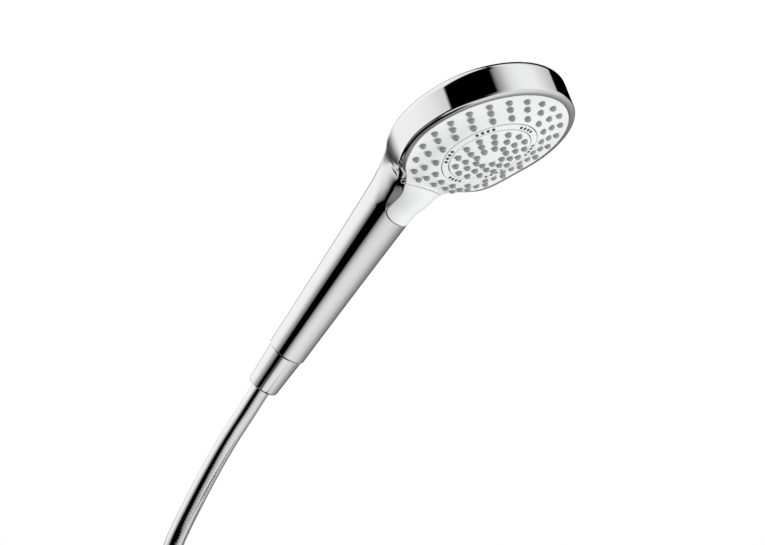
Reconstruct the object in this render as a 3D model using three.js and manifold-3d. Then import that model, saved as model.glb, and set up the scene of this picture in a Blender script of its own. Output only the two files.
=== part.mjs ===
// A handheld shower head with its hose, as the separate pieces that it is built from.
// Millimetres, +Z up. The origin is on the handle's axis, in the middle of the cone nut, where the cone
// of a wall holder grips it. +X is the side that the head reaches out to.
import * as THREE from 'three';
import { mergeVertices, mergeGeometries } from 'three/addons/utils/BufferGeometryUtils.js';
import Module from 'manifold-3d';

const wasm = await Module();
wasm.setup();

// ---------------------------------------------------------------- driving dimensions
const TILT = THREE.MathUtils.degToRad(43.6);       // handle from the vertical
const FACE_ANGLE = THREE.MathUtils.degToRad(24.8); // spray face against the handle's axis
const APEX_X = 40.6;                               // middle of the spray face, from the handle's axis
const APEX_Z = 190.75;                             // the same, along the handle from the origin
const GAP = 0.3;

const HEAD_R = 55;
const FACE_R = 51;
const DOME_R = 150;
const FILLET_R = 38;                               // the neck's outline, between the head and the handle
const NECK_HALF = 16.2;
const LIP_DROP = 10.5;                             // top of the head's wall, below the middle of the face
const WALL_DROP = 23.4;                            // bottom of the head's wall
const BACK_DROP = 28.1;                            // rim of the head's back
const BACK_BULGE = 6;
const TIP_DEEPER = 1.9;                            // the head is that much deeper at its far end
const WALL = 2;

const HANDLE_END = 14.9;
const NUT_TOP = 14.5;
const NUT_END = -13.05;
const OPENING_END = 79;                            // where the opening for face and button ends

const HOSE_R = 6;
const TURN_R = 68.9;
const TURNS = 3;

const cosF = Math.cos(FACE_ANGLE);
const sinF = Math.sin(FACE_ANGLE);

// ---------------------------------------------------------------- materials
const material = (color, roughness, metalness) =>
  new THREE.MeshStandardMaterial({ color, roughness, metalness });
const chrome = material(0xd8dadc, 0.08, 1);
const white = material(0xf2f2f2, 0.3, 0);
const grey = material(0xa2a5a8, 0.55, 0);
const dark = material(0x3a3c40, 0.5, 0);
const plastic = material(0xd9d6cc, 0.5, 0);
const brass = material(0xb9984f, 0.35, 1);
const steel = material(0xb8babd, 0.3, 1);
const rubber = material(0x1c1c1e, 0.8, 0);

// ---------------------------------------------------------------- helpers
const model = new THREE.Group();
const handset = new THREE.Group();
handset.rotation.y = TILT;
model.add(handset);

function add(parent, name, geometry, mat) {
  const mesh = new THREE.Mesh(geometry, mat);
  mesh.name = name;
  parent.add(mesh);
  return mesh;
}

function frame(parent, x, z, turn) {
  const group = new THREE.Group();
  group.position.set(x, 0, z);
  group.rotation.y = turn;
  parent.add(group);
  return group;
}

// A ring or a pin about Z: profile points [r, z], closed on itself unless it starts and ends on the axis.
function lathe(profile, segments = 20) {
  const points = profile.map(([r, z]) => new THREE.Vector2(r, z));
  const onAxis = points[0].x === 0 && points[points.length - 1].x === 0;
  if (!onAxis) points.push(points[0].clone());
  let area = 0;
  points.forEach((p, i) => {
    const q = points[(i + 1) % points.length];
    area += p.x * q.y - q.x * p.y;
  });
  if (area < 0) points.reverse();
  const geometry = new THREE.LatheGeometry(points, segments);
  return geometry.rotateX(Math.PI / 2);
}

const tube = (outer, inner, z0, z1, segments = 20) =>
  lathe([[inner, z0], [outer, z0], [outer, z1], [inner, z1]], segments);
const disc = (r, z0, z1, segments = 20) => lathe([[0, z0], [r, z0], [r, z1], [0, z1]], segments);

function solid(geometry) {
  const bare = geometry.clone();
  bare.deleteAttribute('normal');
  bare.deleteAttribute('uv');
  const merged = mergeVertices(bare, 1e-4);
  const index = merged.index.array;
  const kept = [];
  for (let i = 0; i < index.length; i += 3) {
    const [a, b, c] = [index[i], index[i + 1], index[i + 2]];
    if (a !== b && b !== c && c !== a) kept.push(a, b, c);
  }
  const vertProperties = new Float32Array(merged.attributes.position.array);
  const triVerts = new Uint32Array(kept);
  return new wasm.Manifold(new wasm.Mesh({ numProp: 3, vertProperties, triVerts }));
}

function shape(body) {
  const mesh = body.getMesh();
  const geometry = new THREE.BufferGeometry();
  geometry.setAttribute('position', new THREE.BufferAttribute(mesh.vertProperties, 3));
  geometry.setIndex(new THREE.BufferAttribute(mesh.triVerts, 1));
  return geometry;
}

const cut = (body, ...others) => others.reduce((rest, other) => rest.subtract(other), body);
const smooth = (t) => {
  const k = Math.min(1, Math.max(0, t));
  return k * k * k * (k * (k * 6 - 15) + 10);
};

// From the spray face's own frame (s towards the handle, w across, h out of the face) to the handset's.
const onFace = (s, w, h) =>
  new THREE.Vector3(APEX_X - s * sinF + h * cosF, w, APEX_Z - s * cosF - h * sinF);

// ---------------------------------------------------------------- the outer form of head, neck and handle
const HANDLE_LOW_R = 12.2;                         // the handle's radius at HANDLE_LOW_Z
const HANDLE_LOW_Z = 18;
const HANDLE_SLOPE = 0.0297;
const HANDLE_CURVE = 0.0000625;
const handleRadius = (z) => {
  const up = z - HANDLE_LOW_Z;
  return HANDLE_LOW_R + HANDLE_SLOPE * up + HANDLE_CURVE * up ** 2;
};
const FILLET_W = NECK_HALF + FILLET_R;
const FILLET_S = Math.sqrt((HEAD_R + FILLET_R) ** 2 - FILLET_W ** 2);

// Half the width of the outline at s, moved in by e: the head's circle, the neck's hollow, the handle.
function halfWidth(s, e) {
  const meet = (FILLET_S * (HEAD_R - e)) / (HEAD_R + FILLET_R);
  if (s <= meet) return Math.sqrt(Math.max(0, (HEAD_R - e) ** 2 - s * s));
  if (s <= FILLET_S) return FILLET_W - Math.sqrt((FILLET_R + e) ** 2 - (s - FILLET_S) ** 2);
  return NECK_HALF - e;
}

// The head's section at its rim and at its heel: [inwards from the wall, below the face's middle].
const RIM = [[4, 8.3], [2.2, 8.6], [0.8, 9.3], [0, LIP_DROP]];
const HEEL = [[0, WALL_DROP], [1.3, 26.8], [4, BACK_DROP]];
const RIM_ANGLE = 50;                              // where the rim and the heel run on round the handle
const RIM_STEP = 5;
const LIP_ANGLE = RIM_ANGLE + 3 * RIM_STEP;
const HEEL_ANGLE = 115;
const HEEL_STEP = 7.5;
const BACK_ANGLE = 130;
const FLARE = 5.2;                                 // the button's rise above the handle
const NECK_LIFT = 3.2;                             // the face's rise above its dome, at the neck
const INNER_STEPS = 3;
const WALL_STEPS = 2;
const BACK_STEPS = 3;
const NECK_FROM = 28;                              // the head's section turns into the handle's from here
const NECK_LENGTH = 44;
const LIFT_FROM = 5;
const LIFT_LENGTH = 40;
const FLARE_FROM = 126;
const FLARE_LENGTH = 22;
const DEEPER_TO = 40;
const DEEPER_LENGTH = 90;
const toHandle = (s) => smooth((s - NECK_FROM) / NECK_LENGTH);
const onAxis = (s) => APEX_Z + APEX_X * Math.tan(FACE_ANGLE) - s / cosF;
const neckLift = (s) => NECK_LIFT * smooth((s - LIFT_FROM) / LIFT_LENGTH);
const flareAt = (z) => FLARE * smooth((z - FLARE_FROM) / FLARE_LENGTH);

function profileDrop(profile, e) {
  const points = profile[0][0] < profile[1][0] ? profile : [...profile].reverse();
  const next = Math.max(1, points.findIndex(([at]) => at >= e));
  const [e0, drop0] = points[next - 1];
  const [e1, drop1] = points[next];
  return drop0 + ((drop1 - drop0) * (e - e0)) / (e1 - e0);
}

// One ring of the form at s, with its surface moved in by inset. Past the tip of a profile's own circle
// the ring closes at the height that the profile has there.
function ring(s, inset) {
  const bend = toHandle(s);
  const axisZ = onAxis(s);
  const radius = handleRadius(axisZ) - inset;
  const across = (s > FILLET_S ? handleRadius(axisZ) : halfWidth(s, 0)) - inset;
  const lift = neckLift(s);
  const deeper = TIP_DEEPER * smooth((DEEPER_TO - s) / DEEPER_LENGTH);
  const reach = s < 0 ? Math.max(0, HEAD_R - inset + s) : HEAD_R;
  const half = [];
  const put = (angle, w, h) => {
    const t = THREE.MathUtils.degToRad(angle);
    const front = Math.cos(t) > 0 ? flareAt(axisZ) : 0;
    const handle = new THREE.Vector3((radius + front) * Math.cos(t), across * Math.sin(t), axisZ);
    half.push(onFace(s, w, h).lerp(handle, bend));
  };
  const edge = (profile, e) => {
    const at = Math.min(e, reach);
    return { w: halfWidth(s, at + inset), drop: profileDrop(profile, at) };
  };
  const rim = edge(RIM, RIM[0][0]);
  for (let i = 0; i < INNER_STEPS; i += 1) {
    const w = (rim.w * i) / INNER_STEPS;
    const sag = reach > RIM[0][0] ? (s * s + w * w) / (2 * DOME_R) : rim.drop;
    put((RIM_ANGLE * i) / INNER_STEPS, w, lift - sag - inset);
  }
  RIM.forEach(([e], i) => {
    const { w, drop } = edge(RIM, e);
    put(RIM_ANGLE + RIM_STEP * i, w, lift - drop - inset);
  });
  for (let i = 1; i < WALL_STEPS; i += 1) {
    const k = i / WALL_STEPS;
    const top = lift - LIP_DROP - inset;
    const low = inset - WALL_DROP - deeper;
    put(LIP_ANGLE + (HEEL_ANGLE - LIP_ANGLE) * k, halfWidth(s, inset), top * (1 - k) + low * k);
  }
  HEEL.forEach(([e], i) => {
    const { w, drop } = edge(HEEL, e);
    put(HEEL_ANGLE + HEEL_STEP * i, w, inset - drop - deeper);
  });
  const heel = edge(HEEL, HEEL[2][0]);
  for (let i = 1; i <= BACK_STEPS; i += 1) {
    const w = heel.w * (1 - i / BACK_STEPS);
    const out = 1 - (s * s + w * w) / (HEAD_R - HEEL[2][0]) ** 2;
    const angle = BACK_ANGLE + ((180 - BACK_ANGLE) * i) / BACK_STEPS;
    put(angle, w, inset - heel.drop - deeper - BACK_BULGE * Math.max(0, out));
  }
  const other = half.slice(1, -1).reverse().map((p) => new THREE.Vector3(p.x, -p.y, p.z));
  return half.concat(other);
}

const HEAD_SHARE = 0.7;                            // how much of a half turn the head's own rings take
const NECK_STATIONS = [43, 92];
const HANDLE_STATIONS = [105, 170];
const HANDLE_STEP = 30;

// The whole form of head, neck and handle, down to z = lowest: rings close together at the head's tip.
function form(inset, lowest, headSteps, neckStep) {
  const stations = [];
  for (let i = 0; i <= headSteps; i += 1) {
    stations.push(-(HEAD_R - inset) * Math.cos((HEAD_SHARE * Math.PI * i) / headSteps));
  }
  for (let s = NECK_STATIONS[0]; s < NECK_STATIONS[1]; s += neckStep) stations.push(s);
  for (let s = HANDLE_STATIONS[0]; s < HANDLE_STATIONS[1]; s += HANDLE_STEP) stations.push(s);
  stations.push((APEX_Z + APEX_X * Math.tan(FACE_ANGLE) - lowest) * cosF);
  return loft(stations.map((s) => ring(s, inset)));
}

function loft(rings) {
  const n = rings[0].length;
  const points = rings.flat();
  const first = points.length;
  const middle = (r) => r.reduce((sum, p) => sum.add(p), new THREE.Vector3()).divideScalar(n);
  points.push(middle(rings[0]), middle(rings[rings.length - 1]));
  const index = [];
  for (let i = 0; i + 1 < rings.length; i += 1) {
    for (let j = 0; j < n; j += 1) {
      const a = i * n + j;
      const b = i * n + ((j + 1) % n);
      index.push(a, a + n, b, b, a + n, b + n);
    }
  }
  const last = (rings.length - 1) * n;
  for (let j = 0; j < n; j += 1) {
    index.push(first, j, (j + 1) % n);
    index.push(first + 1, last + ((j + 1) % n), last + j);
  }
  const geometry = new THREE.BufferGeometry();
  const positions = points.flatMap((p) => [p.x, p.y, p.z]);
  geometry.setAttribute('position', new THREE.Float32BufferAttribute(positions, 3));
  geometry.setIndex(index);
  return geometry;
}

const outer = solid(form(0, HANDLE_END, 14, 6));
const hollow = solid(form(WALL, HANDLE_END - 4, 8, 12));

// A strip that follows the rim of the opening for the face and the button, moved in by e, from low to high
// about the surface. Its lower end is rounded over the last END_ROUND.
const END_ROUND = 6;
const END_WIDER = 0.5;
const END_GAP = 0.8;                               // room for the button's end to swing in
const END_STEPS = 4;
const WIDER_FROM = 58;
const WIDER_LENGTH = 16;
const ROUND_STEPS = 12;                            // about the head, past its middle
const ROUND_SHARE = 0.6;
const SIDE_FROM = 22;
const SIDE_STEP = 6;
const BUTTON_TOP_S = 45;                           // the arch between face and button
const ARCH_R = 43;
function opening(e, low, high, end) {
  const along = [];
  for (let i = 0; i <= ROUND_STEPS; i += 1) {
    along.push(-(FACE_R - e) * Math.cos((ROUND_SHARE * Math.PI * i) / ROUND_STEPS));
  }
  for (let s = SIDE_FROM; s < end - END_ROUND; s += SIDE_STEP) along.push(s);
  for (let i = 0; i <= END_STEPS; i += 1) {
    along.push(end - END_ROUND * (1 - Math.sin((Math.PI * i) / (2 * END_STEPS))));
  }
  const rings = along.map((s) => {
    const t = Math.max(0, 1 - (end - s) / END_ROUND);
    const rim = rimPoint(s, e, END_WIDER * smooth((s - WIDER_FROM) / WIDER_LENGTH));
    const w = Math.max(0.02, rim.y * Math.cbrt(Math.max(0, 1 - t ** 3)));
    const faceOut = new THREE.Vector3(cosF, 0, -sinF);
    const out = faceOut.lerp(new THREE.Vector3(1, 0, 0), toHandle(s)).normalize();
    const at = (side, rise) => rim.clone().setY(side * w).addScaledVector(out, rise);
    return [at(-1, low), at(-1, high), at(1, high), at(1, low)];
  });
  return solid(loft(rings));
}

// The point of the form's surface at s on the opening's rim, moved in by e and out by wider.
function rimPoint(s, e, wider) {
  const axisZ = onAxis(s);
  const across = s > FILLET_S ? handleRadius(axisZ) : halfWidth(s, 0);
  const t = THREE.MathUtils.degToRad(RIM_ANGLE);
  const front = handleRadius(axisZ) + flareAt(axisZ);
  const handle = new THREE.Vector3(front * Math.cos(t), across * Math.sin(t) - e + wider, axisZ);
  return onFace(s, halfWidth(s, RIM[0][0] + e), neckLift(s) - RIM[0][1]).lerp(handle, toHandle(s));
}

// ---------------------------------------------------------------- places of the inner parts
const face = frame(handset, APEX_X, APEX_Z, Math.PI / 2 + FACE_ANGLE);
const CARTRIDGE_Z = 130;
const cartridge = frame(handset, 0, CARTRIDGE_Z, Math.PI / 2);
const PIN_X = 9.5;
const PIN_Z = 146.5;

// Moves a solid's geometry from a frame's own axes to the handset's, for cutting there.
function inHandset(group, geometry) {
  group.updateMatrix();
  return geometry.clone().applyMatrix4(group.matrix);
}

const place = (geometry, x, y, z) => geometry.translate(x, y, z);
const box = (x0, x1, y0, y1, z0, z1) =>
  place(new THREE.BoxGeometry(x1 - x0, y1 - y0, z1 - z0), (x0 + x1) / 2, (y0 + y1) / 2, (z0 + z1) / 2);

// ---------------------------------------------------------------- spray face
const domeZ = (r) => -(r * r) / (2 * DOME_R);
const OUTER_RINGS = [[24, 45], [21, 39.15], [18, 33.3]];
const INNER_RINGS = [[15, 21.2], [12, 15.3], [9, 9.2]];
const NOZZLE_R = 1.85;
const NOZZLE_TIP_R = NOZZLE_R * 0.72;
const NOZZLE_ROOT = 1;
const NOZZLE_HOLE_R = 2.3;
const NOZZLE_RISE = 2.1;
const RING_OUT = 29.2;
const RING_IN = 25.4;
const JET_R = 27.3;
const JET_GROUPS = 6;
const JETS_IN_GROUP = 4;
const JET_STEP = 0.122;                            // radians between the jets of a group
const JET_HOLE_R = 0.95;
const JET_TUBE_R = 0.62;
const FACE_THICK = 1.8;                            // room for the face's skin, above the mats
const SKIN = 1.4;
const MAT_THICK = 1.3;
const MAT_TOP = -FACE_THICK - GAP;
const MAT_R = 46.9;

// The places of a ring of nozzles, half a step off the handle's side.
function ringPlaces([count, r]) {
  const places = [];
  for (let i = 0; i < count; i += 1) {
    const besideNeck = r === OUTER_RINGS[0][1] && (i === 0 || i === count - 1);
    const angle = ((i + 0.5) * 2 * Math.PI) / count;
    if (!besideNeck) places.push([r * Math.cos(angle), r * Math.sin(angle), r]);
  }
  return places;
}

const outerPlaces = OUTER_RINGS.flatMap(ringPlaces);
const innerPlaces = INNER_RINGS.flatMap(ringPlaces);
const jetPlaces = [];
for (let group = 0; group < JET_GROUPS; group += 1) {
  for (let i = 0; i < JETS_IN_GROUP; i += 1) {
    const angle = (group * 2 * Math.PI) / JET_GROUPS + (i - (JETS_IN_GROUP - 1) / 2) * JET_STEP;
    jetPlaces.push([JET_R * Math.cos(angle), JET_R * Math.sin(angle), JET_R]);
  }
}

// Pins at the places, from bottom against the dome to top against the face's own surface.
function pins(places, r, top, bottom) {
  const all = places.map(([x, y, from]) => {
    const pin = disc(r, domeZ(from) + bottom, domeZ(from) + neckLift(x) + top, 4);
    return place(pin, x, y, 0);
  });
  return solid(mergeGeometries(all));
}

// A plate that follows the dome between two radii, from top to bottom below the face's surface.
function domePlate(r0, r1, top, bottom, segments, steps) {
  const up = [];
  const down = [];
  for (let i = 0; i <= steps; i += 1) {
    const r = r0 + ((r1 - r0) * i) / steps;
    up.push([r, domeZ(r) + top]);
    down.unshift([r, domeZ(r) + bottom]);
  }
  return lathe(up.concat(down), segments);
}

const strip = opening(0.35, -3.5, 12, OPENING_END);
const skin = cut(outer, solid(form(SKIN, HANDLE_END - 4, 10, 6)));
const archWall = (r) => solid(inHandset(face, place(disc(r, -40, 20, 56), BUTTON_TOP_S + ARCH_R, 0, 0)));
const inFace = (geometry) => solid(inHandset(face, geometry));
const backToFace = (body) => {
  const inverse = face.matrix.clone().invert();
  return shape(body).applyMatrix4(inverse);
};

const inHandsetBody = (body) => solid(inHandset(face, shape(body)));
const faceHoles = inHandsetBody(pins(outerPlaces, NOZZLE_HOLE_R, 2, -5));
const ringRoom = inFace(disc(RING_OUT + GAP, -20, 5, 28));
const faceBody = cut(skin.intersect(strip), archWall(ARCH_R + GAP), ringRoom, faceHoles);
add(face, 'spray_face', backToFace(faceBody), white);

const ringPlate = skin.intersect(inFace(tube(RING_OUT, RING_IN, -20, 5, 28)));
const jetHoles = inHandsetBody(pins(jetPlaces, JET_HOLE_R, 2, -5));
add(face, 'ring_plate', backToFace(cut(ringPlate, jetHoles)), white);
const centrePlate = skin.intersect(inFace(disc(RING_IN - GAP, -20, 5, 28)));
const centreHoles = inHandsetBody(pins(innerPlaces, NOZZLE_HOLE_R, 2, -5));
add(face, 'centre_disc', backToFace(cut(centrePlate, centreHoles)), white);

// A rubber mat with a nozzle standing out of it at each place.
function mat(r0, r1, places) {
  const sheet = solid(domePlate(r0, r1, MAT_TOP, MAT_TOP - MAT_THICK, 24, 2));
  const nozzles = places.map(([x, y, from]) => {
    const low = domeZ(from) - FACE_THICK - NOZZLE_ROOT;
    const high = domeZ(from) + neckLift(x) + NOZZLE_RISE;
    const nozzle = lathe([[0, low], [NOZZLE_R, low], [NOZZLE_TIP_R, high], [0, high]], 4);
    return place(nozzle, x, y, 0);
  });
  return shape(sheet.add(solid(mergeGeometries(nozzles))));
}

add(face, 'outer_nozzle_mat', mat(30.6, MAT_R, outerPlaces), grey);
add(face, 'inner_nozzle_mat', mat(0, 24.4, innerPlaces), grey);
const jetTubes = pins(jetPlaces, JET_TUBE_R, -0.2, -2.6);
const jetRing = solid(domePlate(RING_IN - 0.2, RING_OUT + 0.2, MAT_TOP, MAT_TOP - MAT_THICK, 24, 1));
add(face, 'jet_ring', shape(jetRing.add(jetTubes)), dark);

// ---------------------------------------------------------------- distributor behind the face
const PLATE_TOP = -FACE_THICK - MAT_THICK - 2 * GAP;
const PLATE_LOW = -16;
const PLATE_R = 46;
const GUIDE_H = -20.3;
const GUIDE_HALF = 11;
const GUIDE_BORES = [[-7, 12], [0, 27.3], [7, 35]];
const plateTop = (r) => [r, domeZ(r) + PLATE_TOP];
const groove = (r0, r1, z) => [plateTop(r0), [r0, z], [r1, z], plateTop(r1)];
const plate = solid(lathe([
  [0, PLATE_LOW], [PLATE_R, PLATE_LOW], plateTop(PLATE_R), plateTop(44),
  ...groove(43, 32, -13.6), plateTop(31), plateTop(30),
  ...groove(28.6, 26, -13.6), plateTop(24.6),
  ...groove(23.4, 7, -13.6), plateTop(5), [5, -7.5], [0, -7.5],
], 28));
const GUIDE_BORE_R = 2.2;
const SCREW_HOLE_R = 2.4;
const guideEnd = solid(box(10, 39.7, -GUIDE_HALF, GUIDE_HALF, GUIDE_H - 4, PLATE_LOW + 0.5));
const along = (y, s0, s1) => place(disc(GUIDE_BORE_R, s0, s1, 8).rotateY(Math.PI / 2), 0, y, GUIDE_H);
const waterways = GUIDE_BORES.flatMap(([y, s]) => [
  solid(along(y, s, 45)),
  solid(place(disc(1.9, GUIDE_H - 0.2, -13, 8), s + 0.4, y, 0)),
]);
const screwHole = solid(disc(SCREW_HOLE_R, -30, 0, 16));
add(face, 'distributor', shape(cut(plate.add(guideEnd), ...waterways, screwHole)), plastic);

const seal = domePlate(MAT_R + GAP, MAT_R + 1.9, MAT_TOP, MAT_TOP - 2, 28, 1);
add(face, 'face_gasket', seal, rubber);
add(face, 'centre_screw', lathe([
  [0, -29], [1.6, -29], [1.9, -28], [1.9, -7.2], [4, -7.2], [4, -5.4], [3.4, -4.7], [0, -4.7],
], 20), steel);
add(face, 'guide_gasket', shape(cut(
  solid(box(40, 41, -GUIDE_HALF + 0.5, GUIDE_HALF - 0.5, GUIDE_H - 3.6, GUIDE_H + 3.6)),
  ...GUIDE_BORES.map(([y]) => solid(along(y, 38, 43))),
)), rubber);
add(face, 'water_guide', shape(cut(
  solid(box(41.3, 62.2, -GUIDE_HALF, GUIDE_HALF, GUIDE_H - 4, GUIDE_H + 3.8)),
  ...GUIDE_BORES.map(([y]) => solid(along(y, 39, 66))),
)), plastic);

// ---------------------------------------------------------------- chrome shell
const boss = inFace(disc(4.4, -34, -25.5, 16)).subtract(inFace(disc(2.2, -30, -25, 16)));
add(handset, 'body_shell', shape(cut(outer, hollow, opening(0, -6, 14, OPENING_END)).add(boss)), chrome);

// ---------------------------------------------------------------- select button
const LUG_Y = 6;
const LUG_THICK = 2.5;
const LUG_HALF = 2.3;
const lug = (side) => {
  const middle = side * (LUG_Y + LUG_THICK / 2);
  const y0 = middle - LUG_THICK / 2;
  const block = box(PIN_X - LUG_HALF - 0.1, 30, y0, y0 + LUG_THICK, PIN_Z - LUG_HALF, PIN_Z + LUG_HALF);
  return solid(block).intersect(outer);
};
const acrossPin = (r, half) => place(disc(r, -half, half, 12).rotateX(Math.PI / 2), PIN_X, 0, PIN_Z);
const push = solid(inHandset(cartridge, disc(3.5, 12.6, 15.2, 16)));
const PIN_R = 1;
const PIN_HOLE_R = 1.3;
const pinHole = solid(acrossPin(PIN_HOLE_R, 20));
const buttonStrip = opening(0.45, -3.5, 12, OPENING_END - END_GAP);
const buttonSkin = skin.intersect(buttonStrip).intersect(archWall(ARCH_R));
const buttonBody = cut(buttonSkin.add(lug(-1)).add(lug(1)).add(push), pinHole);
add(handset, 'select_button', shape(buttonBody), white);
add(handset, 'button_pin', acrossPin(PIN_R, 11), steel);
const CHEEK_IN = 9;                                // the carrier's two cheeks hold the pin's ends
const CHEEK_OUT = 11.2;
const CARRIER_LOW = 143.2;
const CARRIER_HIGH = 149.6;
const back = solid(box(4, 5.6, -CHEEK_OUT, CHEEK_OUT, CARRIER_LOW, CARRIER_HIGH));
const cheeks = [-CHEEK_OUT, CHEEK_IN].map((y) =>
  solid(box(4.2, 12, y, y + CHEEK_OUT - CHEEK_IN, CARRIER_LOW, CARRIER_HIGH)));
add(handset, 'button_carrier', shape(cut(back.add(cheeks[0]).add(cheeks[1]), pinHole)), plastic);

// ---------------------------------------------------------------- spray selector cartridge
const HOUSING_R = 10.5;
const BORE_R = 9.2;
const SEAT_Z = -8.6;                               // undersides of the seat, the disc and the rotor
const DISC_Z = -6.9;
const ROTOR_Z = -5.1;
const PORT_AT = 5.4;
const PORT_R = 1.5;
const housing = solid(lathe([
  [0, -10.5], [8.4, -10.5], [HOUSING_R, -8.2], [HOUSING_R, 4],
  [BORE_R, 4], [BORE_R, SEAT_Z - GAP], [0, SEAT_Z - GAP],
], 28));
const outlet = (y) => solid(place(disc(2, -14, -8.4, 8).rotateY(Math.PI / 2), 0, y, -4.2));
const inlet = solid(place(disc(3.5, 8.4, 14, 14).rotateY(Math.PI / 2), 0, 0, -1));
add(cartridge, 'cartridge_housing', shape(cut(housing, outlet(-5), outlet(0), outlet(5), inlet)), plastic);

function ports(count) {
  const all = [];
  for (let i = 0; i < count; i += 1) {
    const angle = (i * 2 * Math.PI) / count;
    const port = disc(PORT_R, -12, 0, 8);
    all.push(solid(place(port, PORT_AT * Math.cos(angle), PORT_AT * Math.sin(angle), 0)));
  }
  return all;
}
const SEAT_PORTS = 6;
const DISC_PORTS = 2;
const DISC_R = 8.8;
const seat = solid(disc(DISC_R, SEAT_Z, SEAT_Z + 1.4, 28));
add(cartridge, 'valve_seat', shape(cut(seat, ...ports(SEAT_PORTS))), rubber);
const hexHole = solid(disc(3, -12, 0, 6));
const valveDisc = solid(disc(DISC_R, DISC_Z, DISC_Z + 1.5, 28));
add(cartridge, 'valve_disc', shape(cut(valveDisc, hexHole, ...ports(DISC_PORTS))), plastic);

const TEETH = 6;
const rotorPlate = disc(6, ROTOR_Z, ROTOR_Z + 2.9, 24);
const rotorKey = disc(2.6, ROTOR_Z - 1.5, ROTOR_Z + 0.1, 6);
let rotor = solid(rotorPlate).add(solid(rotorKey));
for (let i = 0; i < TEETH; i += 1) {
  const tooth = box(3.2, 5.4, -1.1, 1.1, ROTOR_Z + 2.7, ROTOR_Z + 4.6).rotateZ((i * 2 * Math.PI) / TEETH);
  rotor = rotor.add(solid(tooth));
}
add(cartridge, 'ratchet_rotor', shape(rotor), plastic);

add(cartridge, 'plunger', lathe([
  [0, 1.2], [5.6, 1.2], [5.6, 2.8], [3, 2.8], [3, 10.9], [6, 10.9], [6, 12.3], [0, 12.3],
], 24), plastic);
add(cartridge, 'cartridge_cap', tube(HOUSING_R, 3.4, 4.9, 6.1, 24), plastic);
add(cartridge, 'cap_seal', tube(10.2, 9.4, 4.25, 4.65, 20), rubber);

const SPRING_R = 4.7;
const SPRING_TURNS = 2.5;
const SPRING_LOW = 6.95;
const SPRING_LENGTH = 3.05;
const WIRE_R = 0.4;
class Coil extends THREE.Curve {
  getPoint(t, target = new THREE.Vector3()) {
    const angle = t * SPRING_TURNS * 2 * Math.PI;
    const z = SPRING_LOW + SPRING_LENGTH * t;
    return target.set(SPRING_R * Math.cos(angle), SPRING_R * Math.sin(angle), z);
  }
}
const wire = new THREE.Shape();
wire.absarc(0, 0, WIRE_R, 0, 2 * Math.PI, false);
add(cartridge, 'return_spring', new THREE.ExtrudeGeometry(wire,
  { steps: 24, curveSegments: 3, bevelEnabled: false, extrudePath: new Coil() }), steel);

// ---------------------------------------------------------------- waterway in the handle
add(handset, 'water_tube', lathe([
  [5.6, 36.6], [5.6, 119.1], [7.4, 119.1], [7.4, 38], [9.2, 36], [9.2, 25], [7.2, 25], [7.2, 36.6],
], 28), plastic);

const THREAD_R = 10.3;
const THREAD_CORE = 9.5;
const PITCH = 1.814;
const THREADS = 4;
const THREAD_FROM = 7.4;
const SPIGOT_R = 6.8;                              // the nipple's upper end, in the water tube
const GROOVE_R = 5.9;
const SEAL_GROOVES = [27, 31];
const nipple = [[4.6, 35.5], [4.6, 13], [6, 13], [6, 4.5], [9.1, 4.5], [9.1, 7.2]];
for (let i = 0; i < THREADS; i += 1) {
  const z = THREAD_FROM + PITCH * i;
  nipple.push([THREAD_CORE, z], [THREAD_R, z + 0.9]);
}
nipple.push([9.7, 15], [9.7, 24.4], [SPIGOT_R, 24.4]);
SEAL_GROOVES.forEach((z) => {
  nipple.push([SPIGOT_R, z], [GROOVE_R, z], [GROOVE_R, z + 1.8], [SPIGOT_R, z + 1.8]);
});
nipple.push([SPIGOT_R, 35.5]);
add(handset, 'inlet_nipple', lathe(nipple, 16), brass);
SEAL_GROOVES.forEach((z, i) => {
  add(handset, `tube_seal_${i + 1}`, tube(6.95, GROOVE_R + 0.25, z + 0.35, z + 1.45, 24), rubber);
});
add(handset, 'flow_limiter', tube(5.7, 1.4, 8.6, 10.8, 20), plastic);
add(handset, 'filter_washer', lathe([
  [0, 3.2], [5.4, 3.2], [5.4, 2.5], [9.1, 2.5], [9.1, 4.2], [5.4, 4.2], [5.4, 3.5], [0, 3.5],
], 24), rubber);

// ---------------------------------------------------------------- cone nut and the hose's upper end
add(handset, 'cone_nut', lathe([
  [6.4, NUT_END], [8.3, NUT_END], [9.5, -12.5], [9.9, -11.6], [11.25, NUT_TOP - 0.9], [11, NUT_TOP],
  [10.6, NUT_TOP], [10.6, 7], [9.5, 7], [9.5, -1.2], [8.6, -1.2], [8.6, -10], [6.4, -10],
], 28), chrome);
add(handset, 'slip_ring', tube(9.2, 7.7, -0.9, 0, 24), plastic);
add(handset, 'hose_insert', lathe([
  [3.2, 2.2], [9.1, 2.2], [9.1, 0.3], [4.2, 0.3], [4.2, -7], [3.2, -7],
], 24), brass);
add(handset, 'crimp_sleeve', tube(7.3, 4.5, -7.3, 0, 24), steel);

// ---------------------------------------------------------------- hose
// Its route, straight out of the nut, on down and round to the top of the coil: [x, y, z].
const HOSE_ROUTE = [
  [-5.2, 0, -5.5], [-15, 0, -15.7], [-24.8, 0, -26], [-34.3, 0, -36.4], [-43.3, 0, -47], [-51.9, 0, -58],
  [-59.9, 0, -69.2], [-67.5, 0, -80.8], [-74.8, 0, -92.6], [-81.7, 0, -104.7], [-88.2, 1.6, -117.1],
  [-94.3, 6.2, -128.8], [-99.7, 13.7, -139.3], [-104.2, 23.6, -148], [-107.6, 35.5, -154.7],
  [-109.6, 48.7, -158.7], [-110.3, 62, -160],
];
const COIL_X = HOSE_ROUTE[HOSE_ROUTE.length - 1][0] + TURN_R;
const COIL_Y = HOSE_ROUTE[HOSE_ROUTE.length - 1][1];
const FLOOR = -190;
const LEAD_END = 0.8;
const END_RISE = 12.3;
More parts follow.
